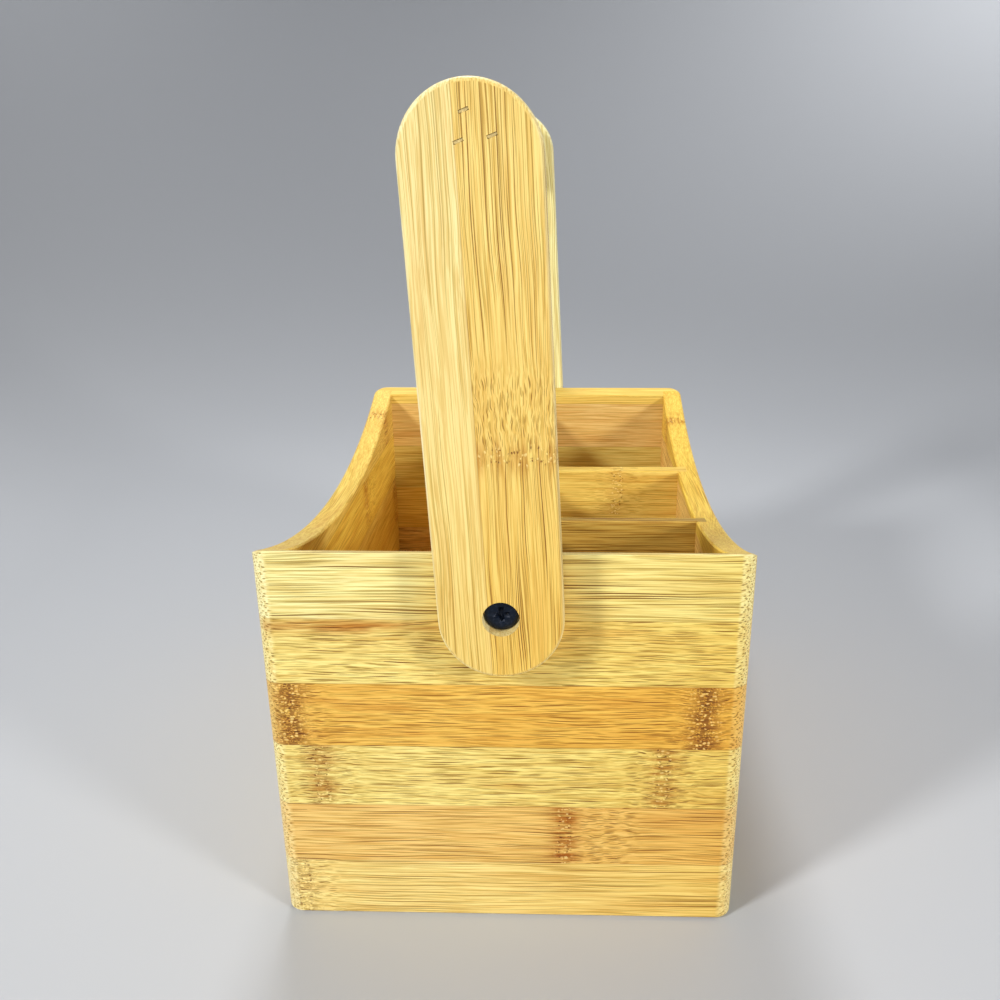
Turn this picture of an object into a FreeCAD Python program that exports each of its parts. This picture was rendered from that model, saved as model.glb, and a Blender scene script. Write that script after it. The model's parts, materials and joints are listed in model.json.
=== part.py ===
import FreeCAD, Part
import math
import os

from FreeCAD import Vector

os.makedirs("parts", exist_ok=True)

# A bamboo caddy for cutlery and napkins, with a drawer under its compartments
# and a swinging handle. Millimetres. +Z up, +Y away from the near end, and the
# drawer opens towards +X. The origin is the middle of the underside.

# ---- driving dimensions ----------------------------------------------------

# Box
width = 160.0                # across, along X
length = 224.0               # along Y, over the two end panels
height = 142.0               # rim height at the two ends
scoop_depth = 21.0           # how far the rim dips at mid length
corner_radius = 6.0          # upright corners
rim_chamfer = 0.6            # eased rim edges
foot_chamfer = 1.2           # eased edge round the underside

# Boards
side_wall_thickness = 9.0
end_panel_thickness = 7.5
lengthwise_thickness = 8.0
cross_thickness = 5.5
cross_spacing = 64.0         # between the middles of the two cross dividers
floor_thickness = 5.0
base_thickness = 6.0
floor_lip = 4.0              # side wall left below the floor's groove
floor_groove = 3.0           # depth of the floor's groove all round
base_rebate = 3.0            # depth of the base panel's seat
corner_rebate = 4.0          # side wall's depth into each end panel
cross_housing = 4.0          # cross divider's depth into the side wall
cross_stub = 2.5             # cross divider's depth into the lengthwise divider
lengthwise_housing = 2.5     # lengthwise divider's depth into the end panels

# Drawer
drawer_front_height = 35.4
drawer_front_gap = 0.6       # above the drawer front
drawer_lift = 0.3            # running gap under the drawer
drawer_end_gap = 0.6         # running gap at each end of the drawer
drawer_rear_gap = 0.4        # behind the drawer when it is shut
drawer_side_height = 32.0
drawer_side_thickness = 6.0
drawer_back_thickness = 6.0
drawer_bottom_thickness = 3.0
drawer_bottom_raise = 2.5    # from the underside of the sides to the bottom panel
drawer_groove = 2.5          # depth of the bottom panel's groove
drawer_side_housing = 4.0    # depth of each side into the front
drawer_back_housing = 2.5    # depth of the back into each side
notch_width = 56.0           # finger notch in the top edge of the front
notch_depth = 15.0
notch_chamfer = 1.2          # eased edges of the notch

# Handle
arm_width = 39.2
arm_thickness = 9.0
arm_round = 1.4              # rounded edge of each arm's outer face
arm_chamfer = 0.8            # eased edge of its inner face
arm_below_pivot = 0.7        # from the pivot down to the middle of the foot's half round
arm_above_pivot = 134.0      # from the pivot up to the middle of the top's half round
pivot_below_rim = 18.0
handle_lean = 2.58           # degrees that the resting handle leans towards -X
bar_diameter = 22.0
bar_below_tip = 14.0         # from the arm's tip down to the middle of the bar

# Pivot hardware
screw_diameter = 4.2
screw_length = 28.0          # under the head
screw_tip_length = 5.0
screw_head_diameter = 10.8
screw_head_height = 2.8
screw_head_chamfer = 0.9
screw_recess = 3.2           # top of the head below the arm's face
counterbore_diameter = 11.6
recess_arm_length = 5.6      # tip to tip of the cross recess
recess_arm_width = 1.15
recess_depth = 1.9
recess_taper = 0.35          # size of its bottom as a share of its mouth
washer_diameter = 14.0
washer_thickness = 1.0
washer_play = 0.1            # between the washer and the arm
head_play = 0.1              # between the screw head and the counterbore's floor
pivot_clearance = 0.05       # radial, arm and washer on the screw
pilot_clearance = 0.02       # round hardware that is driven into its hole

# Brads that fix each arm to the end of the bar
brad_length = 26.0
brad_shank = (1.2, 0.8)      # section of the shank
brad_head = (2.8, 0.9)       # section of the head
brad_head_height = 1.0
brad_set = 0.2               # head below the arm's face
brad_tip_length = 2.5
brad_tilt = 18.0             # degrees, the heads lie a little askew
# Across and along the arm, from the middle of the bar
brad_places = ((-0.8, 5.9), (-2.7, -1.5), (6.2, -0.5))

# Making
overshoot = 1.0              # how far a cutter stands out of what it cuts
same_place = 1e-3            # places nearer to each other than this are one

# ---- places worked out from them -------------------------------------------

half_width = width / 2
half_length = length / 2
wall_inside = half_width - side_wall_thickness
end_inside = half_length - end_panel_thickness
half_lengthwise = lengthwise_thickness / 2
drawer_bottom_z = base_thickness + drawer_lift
opening_top = drawer_bottom_z + drawer_front_height + drawer_front_gap
floor_bottom = opening_top + floor_lip
floor_top = floor_bottom + floor_thickness
scoop_radius = (half_length**2 + scoop_depth**2) / (2 * scoop_depth)
scoop_centre_z = height - scoop_depth + scoop_radius
arm_gap = washer_thickness + washer_play
arm_inner_y = -half_length - arm_gap
arm_outer_y = arm_inner_y - arm_thickness
bar_above_pivot = arm_above_pivot + arm_width / 2 - bar_below_tip
counterbore_depth = screw_recess + screw_head_height + head_play
pivot_height = height - pivot_below_rim
pivot_point = Vector(0, 0, pivot_height)
screw_head_top = arm_outer_y + screw_recess
screw_head_under = screw_head_top + screw_head_height


# ---- helpers ----------------------------------------------------------------

def block(x0, x1, y0, y1, z0, z1):
    """A block between two corners."""
    return Part.makeBox(x1 - x0, y1 - y0, z1 - z0, Vector(x0, y0, z0))


def round_edges(shape, wanted, radius):
    """Round the edges that wanted(edge) picks."""
    return shape.makeFillet(radius, [edge for edge in shape.Edges if wanted(edge)])


def ease_edges(shape, wanted, size):
    """Chamfer the edges that wanted(edge) picks."""
    return shape.makeChamfer(size, [edge for edge in shape.Edges if wanted(edge)])


def edge_ends(edge):
    return [vertex.Point for vertex in edge.Vertexes]


def lies_across_y(edge, y):
    """True on an edge that lies in the plane at y."""
    box = edge.BoundBox
    return abs(box.YMin - y) < same_place and abs(box.YMax - y) < same_place


def is_upright(edge):
    box = edge.BoundBox
    return box.ZLength > same_place and box.XLength < same_place and box.YLength < same_place


def scoop_height(y):
    """Height of the rim at a place along the caddy."""
    return scoop_centre_z - math.sqrt(scoop_radius**2 - y**2)


def near_and_far(piece):
    """The piece as made at the near end, and its twin at the far end."""
    return piece, piece.mirror(Vector(0, 0, 0), Vector(0, 1, 0))


def only_solid(shape):
    """A boolean's result as its one solid."""
    solids = shape.removeSplitter().Solids
    assert len(solids) == 1
    return solids[0]


def lean(shape):
    """Turn a piece of the handle from upright to its resting lean."""
    leaning = shape.copy()
    leaning.rotate(pivot_point, Vector(0, 1, 0), -handle_lean)
    return leaning


# ---- the box as it is sanded after gluing -----------------------------------

def outer_form():
    """Rounded block with the scoop cut along its top."""
    top = height + overshoot
    form = block(-half_width, half_width, -half_length, half_length, 0, top)
    form = round_edges(form, is_upright, corner_radius)
    start = Vector(-half_width - overshoot, 0, scoop_centre_z)
    scoop = Part.makeCylinder(scoop_radius, width + 2 * overshoot, start, Vector(1, 0, 0))
    return form.cut(scoop)


def cross_divider_places():
    """The two faces of each cross divider along Y, near one first."""
    for middle in (-cross_spacing / 2, cross_spacing / 2):
        yield middle - cross_thickness / 2, middle + cross_thickness / 2


def compartments():
    """One hollow along the -X side and three along the +X side."""
    top = height + overshoot
    hollows = [block(-wall_inside, -half_lengthwise, -end_inside, end_inside, floor_top, top)]
    start = -end_inside
    for near_face, far_face in cross_divider_places():
        hollows.append(block(half_lengthwise, wall_inside, start, near_face, floor_top, top))
        start = far_face
    hollows.append(block(half_lengthwise, wall_inside, start, end_inside, floor_top, top))
    return hollows


def on_rim(edge):
    """True on the edges of the scooped rim, inside and outside."""
    return all(abs(point.z - scoop_height(point.y)) < same_place for point in edge_ends(edge))


def across_rim(edge):
    """True on the rim's straight edges over the compartments, across the caddy."""
    ends = edge_ends(edge)
    straight = abs(ends[0].y - ends[-1].y) < same_place
    return on_rim(edge) and straight and abs(ends[0].y) < half_length - same_place


def on_underside(edge):
    return all(abs(point.z) < same_place for point in edge_ends(edge))


def sanded_box():
    """The outer form, hollowed, with its rim and its foot eased."""
    box = outer_form().cut(compartments())
    box = ease_edges(box, lambda edge: on_rim(edge) and not across_rim(edge), rim_chamfer)
    box = ease_edges(box, across_rim, rim_chamfer)
    return ease_edges(box, on_underside, foot_chamfer)


# ---- hardware ---------------------------------------------------------------

def cross_recess(top_y):
    """Tapered cross that a driver fits, sunk along +Y from the top of the head."""
    long, wide = recess_arm_length / 2, recess_arm_width / 2
    low_long, low_wide = long * recess_taper, wide * recess_taper
    wing = Part.makeWedge(
        -long, top_y, -wide, -low_wide, -low_long,
        long, top_y + recess_depth, wide, low_wide, low_long,
    )
    wing.translate(pivot_point)
    crossing = wing.copy()
    crossing.rotate(pivot_point, Vector(0, 1, 0), 90)
    return wing.fuse(crossing)


def turned_about_pivot(profile):
    """Turn a profile of (radius, y) points about the pivot's axis."""
    points = [Vector(radius, y, pivot_height) for radius, y in profile]
    face = Part.Face(Part.makePolygon(points + points[:1]))
    return face.revolve(pivot_point, Vector(0, 1, 0), 360)


def pivot_screw():
    """Wood screw with a cross recess, driven along +Y at the near end."""
    tip = screw_head_under + screw_length
    radius = screw_diameter / 2
    head_radius = screw_head_diameter / 2
    screw = turned_about_pivot([
        (0, screw_head_top),
        (head_radius - screw_head_chamfer, screw_head_top),
        (head_radius, screw_head_top + screw_head_chamfer),
        (head_radius, screw_head_under),
        (radius, screw_head_under),
        (radius, tip - screw_tip_length),
        (0, tip),
    ])
    return only_solid(screw.cut(cross_recess(screw_head_top)))


def screw_hole(clearance):
    """Hole along +Y for the screw's shank, as deep as the screw goes at the near end."""
    radius = screw_diameter / 2 + clearance
    start = Vector(0, screw_head_under, pivot_height)
    return Part.makeCylinder(radius, screw_length + pilot_clearance, start, Vector(0, 1, 0))


def pivot_washer():
    """Thin washer that stands between the end panel and the arm."""
    start = Vector(0, -half_length - washer_thickness, pivot_height)
    disc = Part.makeCylinder(washer_diameter / 2, washer_thickness, start, Vector(0, 1, 0))
    return disc.cut(screw_hole(pivot_clearance))


def brad_form(clearance):
    """One brad along +Y, its head at y = 0, widened by a clearance."""
    wide, thin = (size / 2 + clearance for size in brad_head)
    head = block(-wide, wide, 0, brad_head_height, -thin, thin)
    wide, thin = (size / 2 + clearance for size in brad_shank)
    shank_end = brad_length - brad_tip_length
    shank = block(-wide, wide, brad_head_height, shank_end, -thin, thin)
    wedge = [(-wide, shank_end), (wide, shank_end), (0, brad_length)]
    points = [Vector(x, y, -thin) for x, y in wedge]
    tip = Part.Face(Part.makePolygon(points + points[:1])).extrude(Vector(0, 0, 2 * thin))
    return head.fuse([shank, tip]).removeSplitter()


def brads(clearance=0.0):
    """The three brads of the near arm, upright handle."""
    group = []
    for across, along in brad_places:
        brad = brad_form(clearance)
        brad.rotate(Vector(0, 0, 0), Vector(0, 1, 0), -brad_tilt)
        brad.translate(Vector(across, arm_outer_y + brad_set, pivot_height + bar_above_pivot + along))
        group.append(brad)
    return group


# ---- handle -----------------------------------------------------------------

def brad_dents():
    """The dents that the brad heads leave in the near arm's face, upright handle."""
    dents = []
    for across, along in brad_places:
        wide, thin = (size / 2 + pilot_clearance for size in brad_head)
        dent = block(-wide, wide, -overshoot, brad_set, -thin, thin)
        dent.rotate(Vector(0, 0, 0), Vector(0, 1, 0), -brad_tilt)
        dent.translate(Vector(across, arm_outer_y, pivot_height + bar_above_pivot + along))
        dents.append(dent)
    return dents


def handle_arm():
    """Flat arm with half-round ends, at the near end, upright."""
    radius = arm_width / 2
    low = pivot_height - arm_below_pivot
    high = pivot_height + arm_above_pivot
    left_low, right_low = Vector(-radius, arm_inner_y, low), Vector(radius, arm_inner_y, low)
    left_high, right_high = Vector(-radius, arm_inner_y, high), Vector(radius, arm_inner_y, high)
    outline = Part.Wire([
        Part.Arc(left_low, Vector(0, arm_inner_y, low - radius), right_low).toShape(),
        Part.LineSegment(right_low, right_high).toShape(),
        Part.Arc(right_high, Vector(0, arm_inner_y, high + radius), left_high).toShape(),
        Part.LineSegment(left_high, left_low).toShape(),
    ])
    arm = Part.Face(outline).extrude(Vector(0, -arm_thickness, 0))
    arm = round_edges(arm, lambda edge: lies_across_y(edge, arm_outer_y), arm_round)
    arm = ease_edges(arm, lambda edge: lies_across_y(edge, arm_inner_y), arm_chamfer)
    radius = counterbore_diameter / 2
    start = Vector(0, arm_outer_y - overshoot, pivot_height)
    counterbore = Part.makeCylinder(radius, counterbore_depth + overshoot, start, Vector(0, 1, 0))
    through = screw_hole(pivot_clearance)
    through.translate(Vector(0, head_play / 2, 0))
    return only_solid(arm.cut([counterbore, through] + brads(pilot_clearance) + brad_dents()))


def handle_bar():
    """Round bar between the two arms."""
    half = half_length + arm_gap
    start = Vector(0, -half, pivot_height + bar_above_pivot)
    bar = Part.makeCylinder(bar_diameter / 2, 2 * half, start, Vector(0, 1, 0))
    beds = []
    for brad in brads(pilot_clearance):
        beds += near_and_far(brad)
    return only_solid(bar.cut(beds))


# ---- boards of the box ------------------------------------------------------

def raw_boards():
    """Every board of the box as a plain block, with its tongues but not its grooves."""
    floor_x = wall_inside + floor_groove
    floor_y = end_inside + floor_groove
    base_y = end_inside + base_rebate
    wall_y = end_inside + corner_rebate
    divider_y = end_inside + lengthwise_housing
    base_left = -wall_inside - base_rebate
    cross_left = half_lengthwise - cross_stub
    cross_right = wall_inside + cross_housing
    limits = {
        "near_end_panel": (-half_width, half_width, -half_length, -end_inside, 0, height),
        "far_end_panel": (-half_width, half_width, end_inside, half_length, 0, height),
        "left_side_wall": (-half_width, -wall_inside, -wall_y, wall_y, 0, height),
        "right_side_wall": (wall_inside, half_width, -wall_y, wall_y, opening_top, height),
        "compartment_floor": (-floor_x, floor_x, -floor_y, floor_y, floor_bottom, floor_top),
        "base_panel": (base_left, half_width, -base_y, base_y, 0, base_thickness),
        "lengthwise_divider": (
            -half_lengthwise, half_lengthwise, -divider_y, divider_y, floor_top, height
        ),
    }
    cross_dividers = ("cross_divider_near", "cross_divider_far")
    for name, (near_face, far_face) in zip(cross_dividers, cross_divider_places()):
        limits[name] = (cross_left, cross_right, near_face, far_face, floor_top, height)
    return {name: block(*sides) for name, sides in limits.items()}


# Which boards are let into which: the key is grooved for each board in its list.
guests_of_ends = [
    "left_side_wall", "right_side_wall", "lengthwise_divider", "compartment_floor", "base_panel"
]
let_in = {
    "near_end_panel": guests_of_ends,
    "far_end_panel": guests_of_ends,
    "left_side_wall": ["compartment_floor", "base_panel"],
    "right_side_wall": ["compartment_floor", "cross_divider_near", "cross_divider_far"],
    "lengthwise_divider": ["cross_divider_near", "cross_divider_far"],
}

# Boards that the two pivot screws pass through or end in.
screwed_boards = ("near_end_panel", "far_end_panel", "lengthwise_divider")


def box_boards():
    """Every board cut to the sanded form and grooved for the boards let into it."""
    raw = raw_boards()
    sanded = sanded_box()
    screw_holes = list(near_and_far(screw_hole(pilot_clearance)))
    finished = {}
    for name, board in raw.items():
        shape = board.common(sanded)
        if name in let_in:
            shape = shape.cut([raw[guest] for guest in let_in[name]])
        if name in screwed_boards:
            shape = shape.cut(screw_holes)
        finished[name] = only_solid(shape)
    return finished


# ---- drawer -----------------------------------------------------------------

def notch_cutter():
    """Cylinder across the drawer front, whose segment is the finger notch."""
    radius = ((notch_width / 2) ** 2 + notch_depth**2) / (2 * notch_depth)
    lowest = drawer_bottom_z + drawer_front_height - notch_depth
    start = Vector(wall_inside - overshoot, 0, lowest + radius)
    return Part.makeCylinder(radius, side_wall_thickness + 2 * overshoot, start, Vector(1, 0, 0))


def is_notch_curve(edge):
    """True on the two arcs where the notch meets the faces of the drawer front."""
    box = edge.BoundBox
    tall = box.ZLength > notch_depth / 2
    wide = box.YLength > notch_width / 2
    return box.XLength < same_place and tall and wide


def drawer_boards():
    """Front, back, two sides and bottom of the drawer."""
    half = end_inside - drawer_end_gap
    front_inside = wall_inside
    back_outside = -wall_inside + drawer_rear_gap
    back_inside = back_outside + drawer_back_thickness
    side_inside = half - drawer_side_thickness
    low = drawer_bottom_z
    side_top = low + drawer_side_height
    panel_low = low + drawer_bottom_raise
    panel_high = panel_low + drawer_bottom_thickness
    front = block(front_inside, half_width, -half, half, low, low + drawer_front_height)
    side = block(back_outside, front_inside + drawer_side_housing, -half, -side_inside, low, side_top)
    back_half = side_inside + drawer_back_housing
    back = block(back_outside, back_inside, -back_half, back_half, low, side_top)
    bottom_half = side_inside + drawer_groove
    bottom = block(
        back_inside - drawer_groove, front_inside + drawer_groove,
        -bottom_half, bottom_half, panel_low, panel_high,
    )
    near_side, far_side = near_and_far(side)
    front = front.common(outer_form()).cut(notch_cutter())
    front = ease_edges(front, is_notch_curve, notch_chamfer)
    return {
        "drawer_front": only_solid(front.cut([near_side, far_side, bottom])),
        "drawer_back": only_solid(back.cut(bottom)),
        "drawer_side_near": only_solid(near_side.cut([back, bottom])),
        "drawer_side_far": only_solid(far_side.cut([back, bottom])),
        "drawer_bottom": bottom,
    }


# ---- write every piece ------------------------------------------------------

def all_pieces():
    pieces = box_boards()
    pieces.update(drawer_boards())
    twins = {
        "handle_arm": lean(handle_arm()),
        "handle_brads": Part.makeCompound([lean(brad) for brad in brads()]),
        "pivot_screw": pivot_screw(),
        "pivot_washer": pivot_washer(),
    }
    for name, near_piece in twins.items():
        for end, piece in zip(("near", "far"), near_and_far(near_piece)):
            pieces[name + "_" + end] = piece
    pieces["handle_bar"] = lean(handle_bar())
    return pieces


for node, shape in all_pieces().items():
    assert shape.isValid(), node
    shape.exportStep("parts/" + node + ".step")
    box = shape.BoundBox
    print(f"{node}: {len(shape.Solids)} solid, {shape.Volume / 1000:.1f} cm3")
    print(f"  X {box.XMin:.1f} to {box.XMax:.1f}, Y {box.YMin:.1f} to {box.YMax:.1f}")
    print(f"  Z {box.ZMin:.1f} to {box.ZMax:.1f}")
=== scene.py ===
import json
import math
import random
from collections import namedtuple

import bmesh
import bpy
from mathutils import Matrix, Vector


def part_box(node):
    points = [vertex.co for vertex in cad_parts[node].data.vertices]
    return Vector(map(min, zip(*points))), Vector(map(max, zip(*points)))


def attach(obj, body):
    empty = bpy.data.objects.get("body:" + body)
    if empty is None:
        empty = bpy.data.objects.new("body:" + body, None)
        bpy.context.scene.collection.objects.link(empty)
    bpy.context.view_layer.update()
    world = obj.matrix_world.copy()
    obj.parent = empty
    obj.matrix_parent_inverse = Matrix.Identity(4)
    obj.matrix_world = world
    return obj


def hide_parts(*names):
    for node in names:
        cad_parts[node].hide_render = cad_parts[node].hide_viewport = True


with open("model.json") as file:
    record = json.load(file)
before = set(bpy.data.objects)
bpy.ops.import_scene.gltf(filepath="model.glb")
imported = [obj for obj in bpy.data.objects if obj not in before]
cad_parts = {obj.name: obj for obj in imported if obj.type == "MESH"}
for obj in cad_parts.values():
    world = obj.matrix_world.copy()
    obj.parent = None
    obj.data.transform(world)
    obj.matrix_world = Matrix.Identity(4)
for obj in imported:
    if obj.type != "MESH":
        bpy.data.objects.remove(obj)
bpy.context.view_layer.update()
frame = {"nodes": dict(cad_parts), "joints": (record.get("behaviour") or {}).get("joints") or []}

# A bamboo caddy with a drawer and a swinging handle. Metres, in the frame of
# the CAD model: +Z up, the near end panel at -Y, the drawer opens towards +X.
# Patterns on the boards are laid out in millimetres.

# ---- sizes and places --------------------------------------------------------

MM = 0.001
FAR = 999.0                                # millimetres, further than any board reaches
FAR_OFF = (FAR, FAR, FAR)

HANDLE_JOINT = next(joint for joint in frame["joints"] if joint["name"] == "handle_swing")
PIVOT = Vector(HANDLE_JOINT["pos_m"])
HANDLE_LEAN = math.radians(2.58)           # the resting handle leans towards -X

# Pivot screws, millimetres
HEAD_ACROSS = 10.8
HEAD_HEIGHT = 2.8
SHANK_ACROSS = 4.2
CORE_ACROSS = 3.0
SCREW_LENGTH = 28.0                        # under the head
THREAD_START = 10.0                        # below the head
THREAD_PITCH = 1.8
RECESS_SPAN = 6.2
RECESS_WIDTH = 2.0
RECESS_DEPTH = 2.3
SCREW_TURN = math.radians(4)               # the cross stands a little askew

# Brads, millimetres
BRAD_LENGTH = 26.0
BRAD_HEAD = (2.76, 0.82)
BRAD_SHANK = (1.2, 0.8)
BRAD_HEAD_HEIGHT = 1.0
BRAD_BOW = 0.10                            # the struck head sags this much in its middle
BRAD_TILT = math.radians(18.0)
BAR_ABOVE_PIVOT = 139.6
BRAD_PLACES = ((-0.8, 5.9), (-2.7, -1.5), (6.2, -0.5))   # across and along the arm from the bar

# ---- colours -------------------------------------------------------------------


def srgb(red, green, blue):
    """A colour given 0 to 255, as Blender's linear colour."""
    def linear(value):
        share = value / 255
        return share / 12.92 if share <= 0.04045 else ((share + 0.055) / 1.055) ** 2.4
    return (linear(red), linear(green), linear(blue), 1.0)


WHITE = (1.0, 1.0, 1.0)

# The strips' own colours, and one darker tone that paints shade on the near cross divider
TONES = {
    "pale": srgb(255, 251, 188),
    "cream": srgb(255, 247, 174),
    "straw": srgb(252, 234, 146),
    "oat": srgb(254, 235, 166),
    "corn": srgb(253, 225, 138),
    "wheat": srgb(255, 231, 150),
    "honey": srgb(248, 211, 128),
    "amber": srgb(246, 202, 98),
    "gold": srgb(243, 209, 92),
    "tan": srgb(234, 201, 128),
    "mead": srgb(242, 212, 112),
    # painted shade: the near cross divider darkened as if the near panel shadowed it
    "shade": srgb(198, 166, 82),
    "sage": srgb(226, 206, 118),
}

# What the tones are tinted with
TINTS = {
    "warm": srgb(246, 234, 198),
    "end": (0.22, 0.42, 0.22, 1.0),
    # painted highlight on the rounded sides of boards, together with sanded paleness
    "edge_highlight": (1.0, 0.98, 0.64, 1.0),
    "smear": srgb(232, 205, 165),
    "cloud": srgb(226, 190, 140),
    "fibre": srgb(222, 198, 140),
    "stain": srgb(200, 150, 84),
    "smudge": srgb(205, 150, 90),
    # painted shade: the warm tone of the handle arm's shadow on the near panel
    "painted_arm_shade": (1.0, 0.84, 0.56, 1.0),
    "bundle_rim": (1.0, 0.94, 0.58, 1.0),
    "bundle": srgb(110, 60, 0),
    "pith": (1.0, 0.86, 0.36, 1.0),
    "pit": srgb(128, 84, 34),
    "joint": srgb(150, 108, 62),
}

# How the vascular bundles show on a strip: millimetres between them, how dark
# they are (0 to 1), millimetres from one dash to the next along the fibre, and
# how strongly the tone clouds, 0 to 1.
GRAINS = {
    "sparse": (0.82, 1.00, 80.0, 0.25),
    "calm": (0.66, 0.94, 60.0, 0.30),
    "lively": (0.60, 1.00, 22.0, 0.35),
    "dense": (0.58, 0.97, 26.0, 0.35),
    "streaked": (0.56, 0.82, 100.0, 0.18),
    "fine": (0.75, 0.46, 200.0, 0.15),
    "mild": (0.80, 0.76, 85.0, 0.25),
    "soft": (0.75, 0.45, 55.0, 0.35),
}

Strip = namedtuple("Strip", "tone grain rings side band stain", defaults=((), 0.0, 0.0, 0.8))
# rings: places of the culm's nodes along the board, millimetres from its middle
# side:  -1 to 1, the side of each ring on which the grain waves
# band:  0 for two neat rows of pits, 1 for a broad band of them
# stain: how brown the wood is beside a ring, 0 to 1

# ---- small builders for node trees ----------------------------------------------


def put(tree, kind, *values, **settings):
    """A new node with its settings and its first inputs."""
    node = tree.nodes.new(kind)
    for name, value in settings.items():
        setattr(node, name, value)
    for socket, value in zip(node.inputs, values):
        feed(tree, socket, value)
    return node


def feed(tree, socket, value):
    """Link an output to the socket, or set the plain value."""
    if isinstance(value, bpy.types.NodeSocket):
        tree.links.new(value, socket)
    else:
        socket.default_value = value


def maths(tree, operation, *values, clamp=False):
    return put(tree, "ShaderNodeMath", *values, operation=operation, use_clamp=clamp).outputs[0]


def product(tree, *values):
    """All the values multiplied together."""
    result = values[0]
    for value in values[1:]:
        result = maths(tree, "MULTIPLY", result, value)
    return result


def scaled(tree, value, factor, offset):
    return maths(tree, "MULTIPLY_ADD", value, factor, offset)


def ramp_between(tree, value, low, high, to_low=0.0, to_high=1.0):
    """Smooth step of a value from low to high."""
    return put(tree, "ShaderNodeMapRange", value, low, high, to_low, to_high,
               interpolation_type="SMOOTHSTEP").outputs[0]


def vector_maths(tree, operation, *values):
    return put(tree, "ShaderNodeVectorMath", *values, operation=operation).outputs[0]


def split(tree, vector):
    return put(tree, "ShaderNodeSeparateXYZ", vector).outputs


def join(tree, x, y, z):
    return put(tree, "ShaderNodeCombineXYZ", x, y, z).outputs[0]


COLOUR_A, COLOUR_B, COLOUR_OUT = 6, 7, 2       # a Mix node's colour sockets
FACTOR, FLOAT_A, FLOAT_B = 0, 2, 3             # and its float sockets


def tinted(tree, colour, share, tint, mode="MULTIPLY"):
    """The colour blended with a tint in the given mode, by a share of 0 to 1."""
    node = put(tree, "ShaderNodeMix", data_type="RGBA", blend_type=mode)
    feed(tree, node.inputs["Factor"], share)
    feed(tree, node.inputs[COLOUR_A], colour)
    feed(tree, node.inputs[COLOUR_B], tint)
    return node.outputs[COLOUR_OUT]


def between(tree, share, first, second):
    """The first value where the share is 0, the second where it is 1."""
    node = put(tree, "ShaderNodeMix", data_type="FLOAT")
    feed(tree, node.inputs[FACTOR], share)
    feed(tree, node.inputs[FLOAT_A], first)
    feed(tree, node.inputs[FLOAT_B], second)
    return node.outputs[0]


def centred_noise(tree, vector):
    """A noise colour as a vector round zero, half a unit each way."""
    return vector_maths(tree, "SUBTRACT", noise(tree, vector, 1.0)["Color"], (0.5, 0.5, 0.5))


def noise(tree, vector, detail=2.0, roughness=0.5, scale=1.0):
    node = put(tree, "ShaderNodeTexNoise", noise_dimensions="3D")
    feed(tree, node.inputs["Vector"], vector)
    node.inputs["Scale"].default_value = scale
    node.inputs["Detail"].default_value = detail
    node.inputs["Roughness"].default_value = roughness
    return node.outputs


def cells_of(tree, vector, dimensions="3D"):
    node = put(tree, "ShaderNodeTexVoronoi", voronoi_dimensions=dimensions)
    feed(tree, node.inputs["Vector"], vector)
    node.inputs["Scale"].default_value = 1.0
    return node.outputs


def stretched(tree, vector, along, across):
    """The vector divided by a grain length along the fibre and one across it."""
    return vector_maths(tree, "DIVIDE", vector, (along, across, across))


def bell(tree, distance, width):
    """1 where the distance is zero, falling to nearly 0 two widths away."""
    share = maths(tree, "DIVIDE", distance, width)
    return maths(tree, "EXPONENT", product(tree, share, share, -1.0))


def patch(tree, board, centre, reach):
    """1 at a place on the board, falling off over its reach along the three axes."""
    off = vector_maths(tree, "DIVIDE", vector_maths(tree, "SUBTRACT", board, centre), reach)
    return bell(tree, put(tree, "ShaderNodeVectorMath", off, operation="LENGTH").outputs[1], 1.0)


def new_group(name, inputs, outputs):
    """A shader group with named sockets: each input is (name, kind, default)."""
    group = bpy.data.node_groups.new(name, "ShaderNodeTree")
    for label, kind, default in inputs:
        socket = group.interface.new_socket(label, in_out="INPUT", socket_type="NodeSocket" + kind)
        if default is not None:
            socket.default_value = default
    for label, kind in outputs:
        group.interface.new_socket(label, in_out="OUTPUT", socket_type="NodeSocket" + kind)
    start = group.nodes.new("NodeGroupInput")
    end = group.nodes.new("NodeGroupOutput")
    return group, start.outputs, end.inputs


def new_material(name):
    """A node material with its tree and its shader."""
    material = bpy.data.materials.new(name)
    material.use_nodes = True
    return material, material.node_tree, material.node_tree.nodes["Principled BSDF"]


def use_group(tree, group, **values):
    """Place a group and feed its inputs; Strip_Width feeds the socket "Strip Width"."""
    node = put(tree, "ShaderNodeGroup", node_tree=group)
    for label, value in values.items():
        feed(tree, node.inputs[label.replace("_", " ")], value)
    return node.outputs


# ---- bamboo ---------------------------------------------------------------------

JOINT_CORE = 0.05      # millimetres from a glue joint's middle to where it fades
JOINT_RIM = 0.30       # and to where it ends


def strip_layout_group():
    """Which glued strip of a board a point is in, and where the glue joints are."""
    group, given, result = new_group(
        "strip_layout",
        [("Board", "Vector", None), ("Strip Width", "Float", 23.7), ("First Joint", "Float", 0.0),
         ("Strips", "Float", 6.0)],
        [("Strip", "Float"), ("Share", "Float"), ("Joint", "Float")],
    )
    stack = split(group, given["Board"])["Z"]
    from_first = maths(group, "SUBTRACT", stack, given["First Joint"])
    steps = maths(group, "DIVIDE", from_first, given["Strip Width"])
    strip = maths(group, "FLOOR", steps)
    from_joint = product(group, maths(group, "PINGPONG", steps, 0.5), given["Strip Width"])
    feed(group, result["Strip"], strip)
    middle = maths(group, "ADD", strip, 0.5)
    feed(group, result["Share"], maths(group, "DIVIDE", middle, given["Strips"]))
    feed(group, result["Joint"], ramp_between(group, from_joint, JOINT_CORE, JOINT_RIM, 1.0, 0.0))
    return group


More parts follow.
